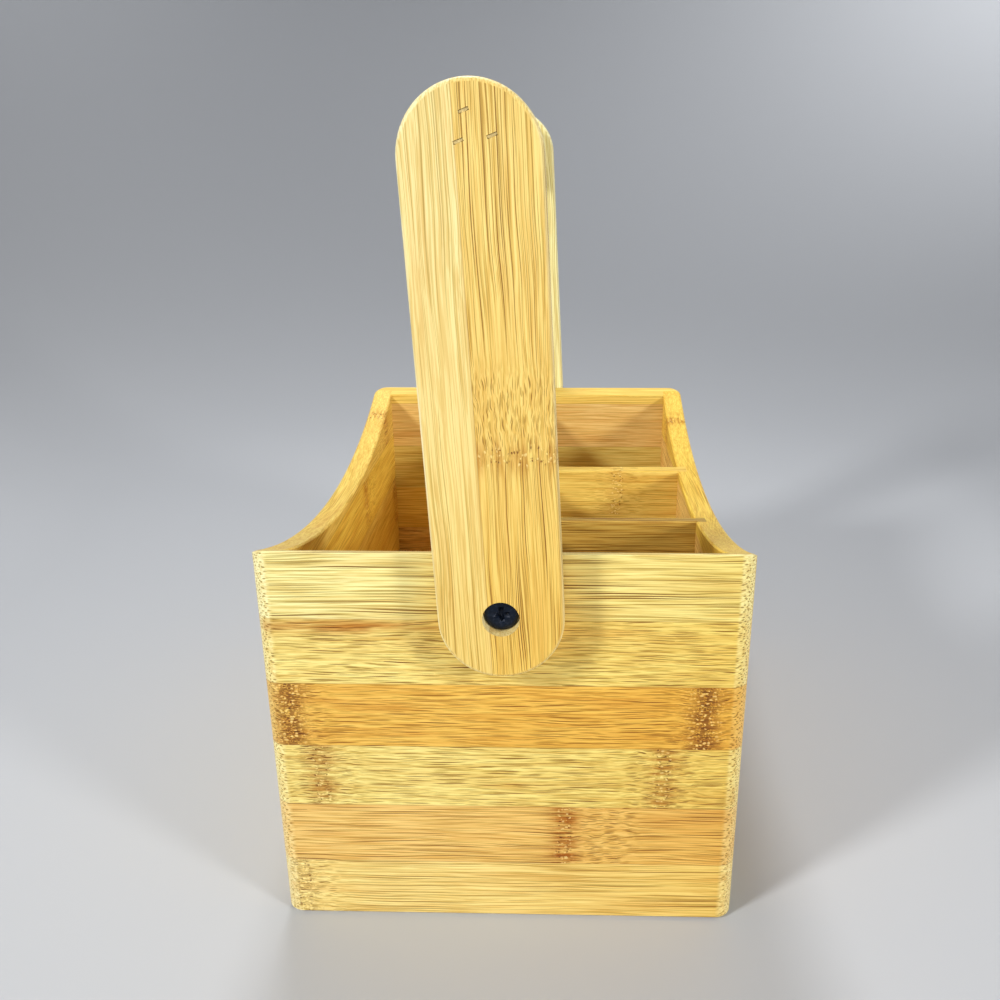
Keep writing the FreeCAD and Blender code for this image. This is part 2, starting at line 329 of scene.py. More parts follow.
# A node's scar, in millimetres along the fibre
SCAR_WANDER = 4.4      # how far it wanders across a strip
WANDER_SIZE = (40.0, 3.5)
SCAR_SMEAR_SIZE = (16.0, 1.3)
STAIN_START = 1.0      # the stain is strongest this far from the scar's middle
STAIN_WIDTH = 4.4
WAVE_AWAY = 12.0       # from the scar to the middle of its wavy grain
WAVE_WIDTH = 14.0
ROW_AWAY = 1.7         # from the scar's middle to each row of pits
ROW_WIDTH = 0.75
BAND_WIDTH = 5.0
PITH_WIDTH = 2.2
PIT_SIZE = (1.35, 0.85)
PIT_SHAKE_SIZE = (1.6, 1.1)
PIT_SHAKE = (2.0, 0.9, 0.9)


def ring_group():
    """The scar of a culm's node across one strip: a stain, a wavy stretch and rows of pits."""
    group, given, result = new_group(
        "node_ring",
        [("Board", "Vector", None), ("Place", "Float", 0.0), ("Side", "Float", 0.0),
         ("Band", "Float", 0.0)],
        [("Stain", "Float"), ("Wave", "Float"), ("Pits", "Float"), ("Pith", "Float")],
    )
    board = given["Board"]
    wobble = noise(group, stretched(group, board, *WANDER_SIZE))["Fac"]
    along = split(group, board)["X"]
    shifted = maths(group, "SUBTRACT", along, given["Place"])
    distance = maths(group, "ADD", shifted, scaled(group, wobble, SCAR_WANDER, -SCAR_WANDER / 2))

    # Stained to both sides of the scar, in uneven smears along the fibre
    smears = noise(group, stretched(group, board, *SCAR_SMEAR_SIZE))["Fac"]
    beyond = maths(group, "ABSOLUTE", distance)
    stain = bell(group, maths(group, "SUBTRACT", beyond, STAIN_START), STAIN_WIDTH)
    feed(group, result["Stain"], product(group, stain, ramp_between(group, smears, 0.34, 0.66)))

    # The grain waves on one side
    from_side = maths(group, "SUBTRACT", distance, product(group, given["Side"], WAVE_AWAY))
    feed(group, result["Wave"], bell(group, from_side, WAVE_WIDTH))

    # Pits in two rows, or in a band
    rows = bell(group, maths(group, "SUBTRACT", beyond, ROW_AWAY), ROW_WIDTH)
    where = between(group, given["Band"], rows, bell(group, distance, BAND_WIDTH))
    jitter = centred_noise(group, stretched(group, board, *PIT_SHAKE_SIZE))
    shaken = vector_maths(group, "ADD", board, vector_maths(group, "MULTIPLY", jitter, PIT_SHAKE))
    holes = cells_of(group, stretched(group, shaken, *PIT_SIZE))
    pick = split(group, holes["Color"])["X"]
    dot = ramp_between(group, holes["Distance"], 0.26, 0.44, 1.0, 0.0)
    dark = ramp_between(group, pick, 0.44, 0.50)
    web = ramp_between(group, holes["Distance"], 0.44, 0.60, 0.0, 0.8)
    marks = maths(group, "MAXIMUM", product(group, dot, dark), product(group, web, given["Band"]))
    feed(group, result["Pits"], product(group, marks, where))
    inside = maths(group, "MAXIMUM", where, bell(group, distance, PITH_WIDTH))
    feed(group, result["Pith"], product(group, maths(group, "SUBTRACT", 1.0, dark), dot, inside))
    return group


def dash_group():
    """Bundles of the bamboo cut into tapering dashes along the fibre."""
    group, given, result = new_group(
        "bamboo_dashes",
        [("Board", "Vector", None), ("Length", "Float", 24.0), ("Spacing", "Float", 0.8),
         ("Thickness", "Float", 0.5)],
        [("Dash", "Float")],
    )
    axes = split(group, given["Board"])
    # The rows run on obliquely through the board, so that its edges show dashes too
    across = maths(group, "ADD", axes["Z"], product(group, axes["Y"], 0.83))
    steps_along = maths(group, "DIVIDE", axes["X"], given["Length"])
    steps_across = maths(group, "DIVIDE", across, given["Spacing"])
    cells = cells_of(group, join(group, steps_along, steps_across, 0.0), "2D")
    # Each dash has its own thickness and its own darkness
    picks = split(group, cells["Color"])
    rim = product(group, scaled(group, picks["X"], 0.6, 0.7), given["Thickness"])
    core = product(group, rim, 0.55)
    dash = ramp_between(group, cells["Distance"], core, rim, 1.0, 0.0)
    feed(group, result["Dash"], product(group, dash, scaled(group, picks["Y"], 0.7, 0.3)))
    return group


STRIP_SHIFT = (371.3, 11.9, 57.1)      # millimetres from one strip's pattern to the next one's
KINK = 1.7                             # millimetres that the grain kinks beside a scar
DRIFT = 2.6                            # and that it drifts elsewhere
SMUDGE_REACH = (30.0, 30.0, 2.4)       # millimetres along the fibre, through and up the board
# and how far the warm painted shade round the arm's foot reaches
ARM_SHADE_REACH = (28.0, 30.0, 20.0)
# How large the patterns are along the fibre and across it, millimetres
DRIFT_SIZE = (55.0, 9.0)
KINK_SIZE = (6.5, 2.6)
FIBRE_SIZE = (34.0, 0.55)
SMEAR_SIZE = (26.0, 1.5)
CLOUD_SIZE = (60.0, 6.0)
# Dashes: how thick they are, and the fine and the short ones' share of the strip's spacing
COARSE_THICKNESS = 0.29
FINE_THICKNESS = 0.27
SHORT_THICKNESS = 0.34
FINE_SPACING = 0.62
SHORT_SPACING = 0.70
FINE_LENGTH = 0.55                     # of the strip's dash length
SHORT_LENGTH = 6.5                     # millimetres


def bamboo_group(ring, dashes):
    """Bamboo laid up from strips, as colour, roughness and height."""
    group, given, result = new_group(
        "bamboo",
        [("Board", "Vector", None), ("Strip", "Float", 0.0), ("Joint", "Float", 0.0),
         ("End Grain", "Float", 0.0), ("Tone", "Color", (0.8, 0.6, 0.3, 1.0)),
         ("Spacing", "Float", 0.8), ("Darkness", "Float", 0.8), ("Length", "Float", 24.0),
         ("Clouds", "Float", 0.5), ("First Ring", "Float", FAR), ("Second Ring", "Float", FAR),
         ("Side", "Float", 0.0), ("Band", "Float", 0.0), ("Stain", "Float", 0.8),
         ("Pores", "Float", 0.6), ("Smudge", "Vector", FAR_OFF), ("Blotch", "Vector", FAR_OFF),
         ("Warm From", "Float", FAR - 1.0), ("Warm To", "Float", FAR), ("Edge", "Float", 0.0)],
        [("Color", "Color"), ("Roughness", "Float"), ("Height", "Float")],
    )
    strip = given["Strip"]
    moved, moved_through, moved_up = (product(group, strip, step) for step in STRIP_SHIFT)
    own = vector_maths(group, "ADD", given["Board"], join(group, moved, moved_through, moved_up))

    # Scars of the culm's nodes
    rings = [
        use_group(group, ring, Board=own, Place=maths(group, "ADD", given[label], moved),
                  Side=given["Side"], Band=given["Band"])
        for label in ("First Ring", "Second Ring")
    ]
    stain, wave, pits, pith = (
        maths(group, "MAXIMUM", rings[0][label], rings[1][label])
        for label in ("Stain", "Wave", "Pits", "Pith")
    )

    # The grain drifts gently everywhere and kinks beside a scar
    drift = centred_noise(group, stretched(group, own, *DRIFT_SIZE))
    kink = put(group, "ShaderNodeVectorMath", centred_noise(group, stretched(group, own, *KINK_SIZE)),
               operation="SCALE")
    feed(group, kink.inputs["Scale"], product(group, wave, KINK))
    drift = vector_maths(group, "MULTIPLY", drift, (0.0, DRIFT, DRIFT))
    kink = vector_maths(group, "MULTIPLY", kink.outputs[0], (0.0, 1.0, 1.0))
    bent = vector_maths(group, "ADD", vector_maths(group, "ADD", own, drift), kink)

    # Long dashes with fine ones between, short ones beside a scar, dots on end grain
    spacing = given["Spacing"]
    length = given["Length"]
    coarse, fine, short = (
        use_group(group, dashes, Board=bent, Length=dash_length, Spacing=dash_spacing,
                  Thickness=thickness)["Dash"]
        for dash_length, dash_spacing, thickness in (
            (length, spacing, COARSE_THICKNESS),
            (product(group, length, FINE_LENGTH), product(group, spacing, FINE_SPACING), FINE_THICKNESS),
            (SHORT_LENGTH, product(group, spacing, SHORT_SPACING), SHORT_THICKNESS),
        )
    )
    straight = maths(group, "MAXIMUM", coarse, product(group, fine, 0.75))
    broken = maths(group, "MAXIMUM", short, product(group, coarse, 0.4))
    dash = between(group, ramp_between(group, wave, 0.15, 0.70), straight, broken)
    axes = split(group, bent)
    bundles = cells_of(group, join(group, product(group, axes["Y"], 1.2), axes["Z"], 0.0), "2D")
    dots = ramp_between(group, bundles["Distance"], 0.15, 0.30, 1.0, 0.0)
    ends = given["End Grain"]
    seen = between(group, ends, dash, product(group, dots, given["Pores"]))
    dark = product(group, seen, given["Darkness"], scaled(group, pith, -0.8, 1.0))

    # Fine fibres, smears of tone and broad clouds
    fibres = noise(group, stretched(group, bent, *FIBRE_SIZE), 3.0, 0.65)["Fac"]
    smears = noise(group, stretched(group, bent, *SMEAR_SIZE), 2.0)["Fac"]
    clouds = noise(group, stretched(group, own, *CLOUD_SIZE), 2.0)["Fac"]

    # Ends and edges come out paler, the more so the paler the strip is; on the edges this is a painted
    # highlight together with sanded paleness
    board = given["Board"]
    warm = put(group, "ShaderNodeMapRange", split(group, board)["X"], given["Warm From"],
               given["Warm To"]).outputs[0]
    blue = put(group, "ShaderNodeSeparateColor", given["Tone"]).outputs["Blue"]
    paleness = maths(group, "MINIMUM", product(group, blue, 3.0), 1.0)
    smeared = ramp_between(group, smears, 0.42, 0.66)
    clouded = ramp_between(group, clouds, 0.50, 0.72)
    smudged = product(group, patch(group, board, given["Smudge"], SMUDGE_REACH),
                      ramp_between(group, smears, 0.30, 0.55))
    # Painted shade: a warm tint where the handle's arm throws its shadow on the near panel
    arm_shade_mask = patch(group, board, given["Blotch"], ARM_SHADE_REACH)
    colour = given["Tone"]
    for share, tint, mode in (
        (warm, "warm", "MULTIPLY"),
        (product(group, ends, given["Pores"], paleness), "end", "SCREEN"),
        # a painted highlight with sanded paleness on faces that turn away from the broad ones
        (product(group, given["Edge"], paleness), "edge_highlight", "MIX"),
        (product(group, smeared, given["Clouds"]), "smear", "MULTIPLY"),
        (product(group, clouded, given["Clouds"]), "cloud", "MULTIPLY"),
        (ramp_between(group, fibres, 0.42, 0.60, 0.0, 0.55), "fibre", "MULTIPLY"),
        (product(group, stain, given["Stain"]), "stain", "MULTIPLY"),
        (product(group, smudged, 0.95), "smudge", "MULTIPLY"),
        # the warm painted shade round the arm's foot
        (product(group, arm_shade_mask, 1.3), "painted_arm_shade", "MULTIPLY"),
        (maths(group, "SQRT", dark), "bundle_rim", "MULTIPLY"),
        (dark, "bundle", "MULTIPLY"),
        (product(group, pith, 0.50), "pith", "MIX"),
        (product(group, pits, 0.9), "pit", "MULTIPLY"),
        (product(group, given["Joint"], 0.30), "joint", "MULTIPLY"),
    ):
        colour = tinted(group, colour, share, TINTS[tint], mode)
    feed(group, result["Color"], colour)

    feed(group, result["Roughness"], scaled(group, fibres, 0.12, scaled(group, dark, 0.18, 0.36)))
    pores = maths(group, "ADD", dark, maths(group, "ADD", pits, product(group, given["Joint"], 0.5)))
    feed(group, result["Height"], maths(group, "SUBTRACT", product(group, fibres, 0.35), pores))
    return group


def strip_ramp(tree, share, colours):
    """One plain colour for each strip."""
    node = put(tree, "ShaderNodeValToRGB", share)
    ramp = node.color_ramp
    ramp.interpolation = "CONSTANT"
    while len(ramp.elements) < len(colours):
        ramp.elements.new(1.0)
    for number, colour in enumerate(colours):
        ramp.elements[number].position = number / len(colours)
        ramp.elements[number].color = colour
    return node.outputs


RING_REACH = 150.0     # millimetres from a board's middle to the furthest ring
LONGEST_DASH = 240.0   # millimetres, the ramps keep dash lengths as shares of it
# How squarely a face is turned along the fibre where end grain begins and where it is full
ENDS_SHOW = (0.03, 0.22)
# and how squarely it is turned as the board's broad faces are where the painted highlight with sanded
# paleness on its edges fades and ends
EDGES_SHOW = (0.60, 0.97)


def ring_share(strip, number):
    """A ring's place along the board, as 0 to 1 over the reach, or 0 for none."""
    if number < len(strip.rings):
        return 0.5 + strip.rings[number] / (2 * RING_REACH)
    return 0.0


def add_bump(tree, shader, height, strength, distance):
    bump = put(tree, "ShaderNodeBump")
    bump.inputs["Strength"].default_value = strength
    bump.inputs["Distance"].default_value = distance
    feed(tree, bump.inputs["Height"], height)
    feed(tree, shader.inputs["Normal"], bump.outputs[0])


def bamboo(name, groups, strips, strip_width, first_joint, fibre="X", through="Y", stack="Z",
           turned=None, pores=0.65, smudge=FAR_OFF, painted_arm_shade=FAR_OFF, warm=(FAR - 1.0, FAR),
           highlit_sanded_edges=0.0, seed=0):
    """A board's own material. Each strip of the stack has its tone, its grain and its rings."""
    material, tree, shader = new_material(name)
    source = put(tree, "ShaderNodeTexCoord").outputs
    mapping = put(tree, "ShaderNodeMapping", source["Object"])
    facing = put(tree, "ShaderNodeMapping", source["Normal"], vector_type="NORMAL")
    mapping.inputs["Scale"].default_value = (1 / MM, 1 / MM, 1 / MM)
    if turned is not None:
        angle, centre = turned
        mapping.inputs["Rotation"].default_value = (0.0, angle, 0.0)
        mapping.inputs["Location"].default_value = -(Matrix.Rotation(angle, 3, "Y") @ (centre / MM))
        facing.inputs["Rotation"].default_value = (0.0, angle, 0.0)
    axes = split(tree, mapping.outputs[0])
    board = join(tree, axes[fibre], axes[through], axes[stack])
    facings = split(tree, facing.outputs[0])
    end_on = maths(tree, "ABSOLUTE", facings[fibre])
    face_on = maths(tree, "ABSOLUTE", facings[through])
    layout = use_group(tree, groups["layout"], Board=board, Strip_Width=strip_width,
                       First_Joint=first_joint, Strips=float(len(strips)))
    grains = [GRAINS[strip.grain] for strip in strips]
    tone = strip_ramp(tree, layout["Share"], [TONES[strip.tone] for strip in strips])[0]
    grain = strip_ramp(tree, layout["Share"], [
        (spacing, darkness, length / LONGEST_DASH, clouds)
        for spacing, darkness, length, clouds in grains
    ])
    rings = strip_ramp(tree, layout["Share"], [
        (ring_share(strip, 0), ring_share(strip, 1), strip.side / 2 + 0.5, strip.band)
        for strip in strips
    ])
    stains = strip_ramp(tree, layout["Share"], [(strip.stain, 0.0, 0.0, 1.0) for strip in strips])
    grain_parts = split(tree, grain[0])
    ring_parts = split(tree, rings[0])
    look = use_group(
        tree, groups["bamboo"],
        Board=board,
        Strip=maths(tree, "ADD", layout["Strip"], float(seed)),
        Joint=layout["Joint"],
        End_Grain=ramp_between(tree, end_on, *ENDS_SHOW),
        Tone=tone,
        Spacing=grain_parts["X"],
        Darkness=grain_parts["Y"],
        Length=product(tree, grain_parts["Z"], LONGEST_DASH),
        Clouds=grain[1],
        First_Ring=scaled(tree, ring_parts["X"], 2 * RING_REACH, -RING_REACH),
        Second_Ring=scaled(tree, ring_parts["Y"], 2 * RING_REACH, -RING_REACH),
        Side=scaled(tree, ring_parts["Z"], 2.0, -1.0),
        Band=rings[1],
        Stain=split(tree, stains[0])["X"],
        Pores=pores,
        Smudge=smudge,
        Blotch=painted_arm_shade,
        Warm_From=warm[0],
        Warm_To=warm[1],
        # painted highlight with sanded paleness where a face turns away from the broad faces
        Edge=ramp_between(tree, face_on, *EDGES_SHOW, highlit_sanded_edges, 0.0),
    )
    feed(tree, shader.inputs["Base Color"], look["Color"])
    feed(tree, shader.inputs["Roughness"], look["Roughness"])
    shader.inputs["Specular IOR Level"].default_value = 0.28
    shader.inputs["Coat Weight"].default_value = 0.05
    shader.inputs["Coat Roughness"].default_value = 0.35
    add_bump(tree, shader, look["Height"], 0.20, 0.10 * MM)
    return material


def plain_finish(name, colour, roughness, metallic=0.0, gloss=0.5):
    """A small part's finish with a little mottling."""
    material, tree, shader = new_material(name)
    place = put(tree, "ShaderNodeTexCoord").outputs["Object"]
    mottle = noise(tree, place, 3.0, scale=900.0)["Fac"]
    wear = ramp_between(tree, mottle, 0.45, 0.75)
    lighter = tuple(min(1.0, part * 1.8 + 0.01) for part in colour[:3]) + (1.0,)
    feed(tree, shader.inputs["Base Color"], tinted(tree, colour, wear, lighter, "MIX"))
    feed(tree, shader.inputs["Roughness"], scaled(tree, mottle, 0.25, roughness - 0.12))
    shader.inputs["Metallic"].default_value = metallic
    shader.inputs["Specular IOR Level"].default_value = gloss
    add_bump(tree, shader, mottle, 0.15, 0.05 * MM)
    return material


def any_strips(seed, count, reach, ringed=0.5, tones=("straw", "honey", "amber"),
               grains=("calm", "dense", "lively")):
    """Strips for a board that shows little: tones, grains and rings from a fixed seed."""
    draw = random.Random(seed)
    strips = []
    for _ in range(count):
        rings = (draw.uniform(-reach, reach),) if draw.random() < ringed else ()
        strips.append(Strip(draw.choice(tones), draw.choice(grains), rings, draw.choice((-1, 0, 1))))
    return strips


def dress_boards(groups):
    """Give every board of the caddy, the drawer and the handle its own bamboo."""
    near_strips = [
        Strip("wheat", "mild", (-72.5,), 0.0, 0.5, 0.0),
        Strip("honey", "calm", (20.0,), 1.0, 0.2, 1.0),
        Strip("straw", "lively", (-63.0, 53.2), 0.0, 0.3, 0.8),
        Strip("amber", "dense", (-71.6, 66.0), 0.0, 1.0, 0.5),
        Strip("straw", "lively"),
        Strip("cream", "sparse"),
    ]
    far_strips = [
        Strip("tan", "calm"), Strip("honey", "lively", (30.0,)), Strip("tan", "dense", (-40.0,)),
        Strip("mead", "soft"), Strip("sage", "soft"), Strip("tan", "soft"), Strip("mead", "fine"),
    ]
    near_arm_strips = [Strip("oat", "fine"), Strip("corn", "streaked", (52.0,), 1.0, 0.0, 0.5)]
    far_arm_strips = [Strip("oat", "fine", (20.0,)), Strip("pale", "fine")]
    ringed_top = Strip("mead", "soft", (43.5,), 0.0, 0.0, 0.4)
    golden = dict(tones=("gold", "mead", "gold"), grains=("soft", "fine", "soft"))
    yellow = dict(tones=("mead", "honey", "gold"), grains=("soft", "fine", "calm"))
    # painted shade for the near cross divider
    shaded = dict(tones=("shade",), grains=("calm", "dense"))
    lengthwise = dict(fibre="Y", through="X")
    flat = dict(fibre="Y", through="Z", stack="X")
    upright = dict(fibre="Z", through="Y", stack="X", turned=(HANDLE_LEAN, PIVOT))
    plans = {
        "near_end_panel": dict(strips=near_strips, strip_width=23.7, first_joint=0.1,
                               # the first place is a brown smear of the wood, the second the middle of
                               # the warm painted shade round the arm's foot
                               smudge=(-50.0, -117.0, 116.0), painted_arm_shade=(0.0, -112.0, 122.0),
                               warm=(-30.0, 80.0), highlit_sanded_edges=0.25),
        "far_end_panel": dict(strips=far_strips, strip_width=23.2, first_joint=-4.7),
        "left_side_wall": dict(strips=any_strips(3, 6, 100, **golden), strip_width=24.0,
                               first_joint=-2.0, pores=0.1, **lengthwise),
        "right_side_wall": dict(strips=any_strips(8, 6, 100, **yellow), strip_width=24.5,
                                first_joint=-4.0, pores=0.25, **lengthwise),
        "lengthwise_divider": dict(strips=any_strips(12, 6, 100, **golden), strip_width=24.0,
                                   first_joint=0.0, **lengthwise),
        # its darker tones are painted shade
        "cross_divider_near": dict(strips=any_strips(5, 6, 60, 0.0, **shaded), strip_width=23.0,
                                   first_joint=8.0),
        "cross_divider_far": dict(strips=[Strip("mead", "soft")] * 5 + [ringed_top], strip_width=23.5,
                                  first_joint=-16.0),
        "compartment_floor": dict(strips=any_strips(21, 7, 100), strip_width=24.0,
                                  first_joint=-80.0, **flat),
        "base_panel": dict(strips=any_strips(22, 7, 100), strip_width=24.0, first_joint=-84.0, **flat),
        "drawer_front": dict(strips=any_strips(31, 3, 90, 0.6), strip_width=22.0, first_joint=-7.0,
                             **lengthwise),
        "drawer_back": dict(strips=any_strips(32, 3, 90), strip_width=22.0, first_joint=-3.0,
                            **lengthwise),
        "drawer_side_near": dict(strips=any_strips(33, 3, 60), strip_width=21.0, first_joint=-8.0),
        "drawer_side_far": dict(strips=any_strips(34, 3, 60), strip_width=21.0, first_joint=-5.0),
        "drawer_bottom": dict(strips=any_strips(35, 7, 90), strip_width=24.0, first_joint=-82.0,
                              **flat),
        "handle_arm_near": dict(strips=near_arm_strips, strip_width=23.7, first_joint=-27.5,
                                pores=0.2, warm=(120.0, -10.0), highlit_sanded_edges=0.6, **upright),
        "handle_arm_far": dict(strips=far_arm_strips, strip_width=23.7, first_joint=-20.0,
                               pores=0.05, highlit_sanded_edges=0.8, **upright),
        "handle_bar": dict(strips=[Strip("honey", "calm"), Strip("straw", "calm")], strip_width=22.0,
                           first_joint=-22.0, turned=(HANDLE_LEAN, PIVOT), **flat),
    }
    for number, (node, plan) in enumerate(plans.items()):
        finish = bamboo(node + "_bamboo", groups, seed=number * 10, **plan)
        frame["nodes"][node].data.materials[0] = finish


# ---- screws and brads ------------------------------------------------------------


def new_maker(name, inputs):
    """A Geometry Nodes tree with named inputs: each is (name, kind, default)."""
    tree = bpy.data.node_groups.new(name, "GeometryNodeTree")
    tree.interface.new_socket("Geometry", in_out="INPUT", socket_type="NodeSocketGeometry")
    for label, kind, default in inputs:
        socket = tree.interface.new_socket(label, in_out="INPUT", socket_type="NodeSocket" + kind)
        if default is not None:
            socket.default_value = default
    tree.interface.new_socket("Geometry", in_out="OUTPUT", socket_type="NodeSocketGeometry")
    return tree, tree.nodes.new("NodeGroupInput").outputs, tree.nodes.new("NodeGroupOutput").inputs


def moved_points(tree, geometry, place):
    node = put(tree, "GeometryNodeSetPosition")
    feed(tree, node.inputs["Geometry"], geometry)
    feed(tree, node.inputs["Position"], place)
    return node.outputs[0]


def placed(tree, geometry, translation=(0.0, 0.0, 0.0), rotation=(0.0, 0.0, 0.0)):
    node = put(tree, "GeometryNodeTransform")
    feed(tree, node.inputs["Geometry"], geometry)
    feed(tree, node.inputs["Translation"], translation)
    feed(tree, node.inputs["Rotation"], rotation)
    return node.outputs[0]


def finished(tree, geometry, material, end):
    """Realize, give the material and hand over."""
    real = put(tree, "GeometryNodeRealizeInstances")
    feed(tree, real.inputs["Geometry"], geometry)
    coated = put(tree, "GeometryNodeSetMaterial")
    feed(tree, coated.inputs["Geometry"], real.outputs[0])
    feed(tree, coated.inputs["Material"], material)
    feed(tree, end["Geometry"], coated.outputs[0])


SLIVER = 0.004 * MM                        # the longest edge that is closed as a cut's leftover
RINGS_OF_SCREW = 150
SIDES_OF_SCREW = 48
HEAD_SHARE = 0.24                          # of the screw's rows, the rest make its shank
# Shares of the head's rows: over the crown, down the bevel and the rim, and back under
CROWN, BEVEL, RIM, UNDER = 0.40, 0.20, 0.15, 0.25
CROWN_REACH = 0.84                         # of the head's radius, the bevel takes the rest
CROWN_FALL, BEVEL_FALL, RIM_FALL = 0.06, 0.20, 0.74      # of the head's height
THREAD_SHARPNESS = 2.5
THREAD_RUN_IN = 1.5 * MM
POINT_START = 0.82                         # of the shank's length
WING_ABOVE = 0.3                           # of the recess's depth, how far a wing stands past the head
WING_TAPER = 0.45                          # how much slimmer a wing is at its bottom


def screw_maker():
    """A domed black screw with a cross recess, its axis on Z and the top of its head at zero."""
    tree, given, end = new_maker("domed_screw", [
        ("Head Across", "Float", HEAD_ACROSS * MM), ("Head Height", "Float", HEAD_HEIGHT * MM),
        ("Shank Across", "Float", SHANK_ACROSS * MM), ("Core Across", "Float", CORE_ACROSS * MM),
        ("Length", "Float", SCREW_LENGTH * MM), ("Thread Start", "Float", THREAD_START * MM),
        ("Pitch", "Float", THREAD_PITCH * MM), ("Recess Span", "Float", RECESS_SPAN * MM),
        ("Recess Width", "Float", RECESS_WIDTH * MM), ("Recess Depth", "Float", RECESS_DEPTH * MM),
        ("Material", "Material", None),
    ])

    # A sheet rolled round the axis, its rows down the screw
    sheet = put(tree, "GeometryNodeMeshGrid")
    for label, value in (("Size X", 1.0), ("Size Y", 1.0), ("Vertices X", SIDES_OF_SCREW + 1),
                         ("Vertices Y", RINGS_OF_SCREW)):
        sheet.inputs[label].default_value = value
    spot = split(tree, put(tree, "GeometryNodeInputPosition").outputs[0])
    round_axis = maths(tree, "ADD", spot["X"], 0.5)
    turn = product(tree, round_axis, -math.tau)
    down = maths(tree, "ADD", spot["Y"], 0.5)

    # The first part of the rows makes the head
    on_head = maths(tree, "DIVIDE", down, HEAD_SHARE, clamp=True)
    crown_way, bevel_way, rim_way, under_way = (
        maths(tree, "DIVIDE", maths(tree, "SUBTRACT", on_head, start), share, clamp=True)
        for start, share in ((0.0, CROWN), (CROWN, BEVEL), (CROWN + BEVEL, RIM), (1 - UNDER, UNDER))
    )
    head_radius, shank_radius, core_radius = (
        product(tree, given[label], 0.5) for label in ("Head Across", "Shank Across", "Core Across")
    )
    reach = maths(tree, "ADD", product(tree, crown_way, CROWN_REACH),
                  product(tree, bevel_way, 1 - CROWN_REACH))
    narrowing = product(tree, under_way, maths(tree, "SUBTRACT", head_radius, shank_radius))
    head_width = maths(tree, "SUBTRACT", product(tree, reach, head_radius), narrowing)
    fall = maths(tree, "ADD", product(tree, crown_way, crown_way, CROWN_FALL),
                 product(tree, bevel_way, BEVEL_FALL))
    fall = maths(tree, "ADD", fall, product(tree, rim_way, RIM_FALL))
    head_drop = product(tree, given["Head Height"], fall)

    # The rest makes the shank: its thread winds round the core and runs out to the point
    past_rows = maths(tree, "SUBTRACT", down, HEAD_SHARE)
    on_shank = maths(tree, "DIVIDE", past_rows, 1 - HEAD_SHARE, clamp=True)
    shank_depth = product(tree, on_shank, given["Length"])
    turns = maths(tree, "DIVIDE", shank_depth, given["Pitch"])
    winding = maths(tree, "ADD", turns, product(tree, round_axis, -1.0))
    saw = maths(tree, "PINGPONG", product(tree, winding, 2.0), 1.0)
    crest = maths(tree, "POWER", saw, THREAD_SHARPNESS)
    ridge = maths(tree, "SUBTRACT", shank_radius, core_radius)
    past_start = maths(tree, "SUBTRACT", shank_depth, given["Thread Start"])
    threaded = ramp_between(tree, past_start, 0.0, THREAD_RUN_IN)
    valley = product(tree, threaded, ridge, maths(tree, "SUBTRACT", 1.0, crest))
    taper = ramp_between(tree, on_shank, POINT_START, 1.0, 1.0, 0.0)
    shank_width = product(tree, maths(tree, "SUBTRACT", shank_radius, valley), taper)

    past_head = ramp_between(tree, down, HEAD_SHARE, HEAD_SHARE + 0.001)
    width = maths(tree, "ADD", product(tree, head_width, maths(tree, "SUBTRACT", 1.0, past_head)),
                  product(tree, shank_width, past_head))
    depth = maths(tree, "ADD", head_drop, shank_depth)
    rolled = moved_points(tree, sheet.outputs["Mesh"], join(
        tree,
        product(tree, width, maths(tree, "COSINE", turn)),
        product(tree, width, maths(tree, "SINE", turn)),
        product(tree, depth, -1.0),
    ))
    closed = put(tree, "GeometryNodeMergeByDistance")
    feed(tree, closed.inputs["Geometry"], rolled)
    closed.inputs["Distance"].default_value = 0.002 * MM

    # The driver's cross, two tapered wings
    wings = []
    for quarter in (0.0, math.pi / 2):
        wing = put(tree, "GeometryNodeMeshCube")
        tall = product(tree, given["Recess Depth"], 1 + WING_ABOVE)
        feed(tree, wing.inputs["Size"], join(tree, given["Recess Span"], given["Recess Width"], tall))
        corner = split(tree, put(tree, "GeometryNodeInputPosition").outputs[0])
        low = maths(tree, "LESS_THAN", corner["Z"], 0.0)
        slim = scaled(tree, low, -WING_TAPER, 1.0)
        sink = product(tree, given["Recess Depth"], (1 - WING_ABOVE) / 2)
        lowered = maths(tree, "SUBTRACT", corner["Z"], sink)
        tapered = moved_points(tree, wing.outputs["Mesh"], join(
            tree, product(tree, corner["X"], slim), product(tree, corner["Y"], slim), lowered,
        ))
        wings.append(placed(tree, tapered, rotation=(0.0, 0.0, quarter)))
    # and the cone between them, which leaves a bright facet in each corner
    cone = put(tree, "GeometryNodeMeshCone")
    cone.inputs["Vertices"].default_value = 24
    feed(tree, cone.inputs["Radius Top"], product(tree, given["Recess Width"], 0.80))
    feed(tree, cone.inputs["Radius Bottom"], product(tree, given["Recess Width"], 0.10))
    feed(tree, cone.inputs["Depth"], given["Recess Depth"])
    drop = join(tree, 0.0, 0.0, product(tree, given["Recess Depth"], -0.80))
    wings.append(placed(tree, cone.outputs["Mesh"], translation=drop))
    cut = put(tree, "GeometryNodeMeshBoolean", operation="DIFFERENCE", solver="EXACT")
    feed(tree, cut.inputs["Mesh 1"], closed.outputs[0])
    for wing in wings:
        tree.links.new(wing, cut.inputs["Mesh 2"])
    finished(tree, cut.outputs["Mesh"], given["Material"], end)
    return tree


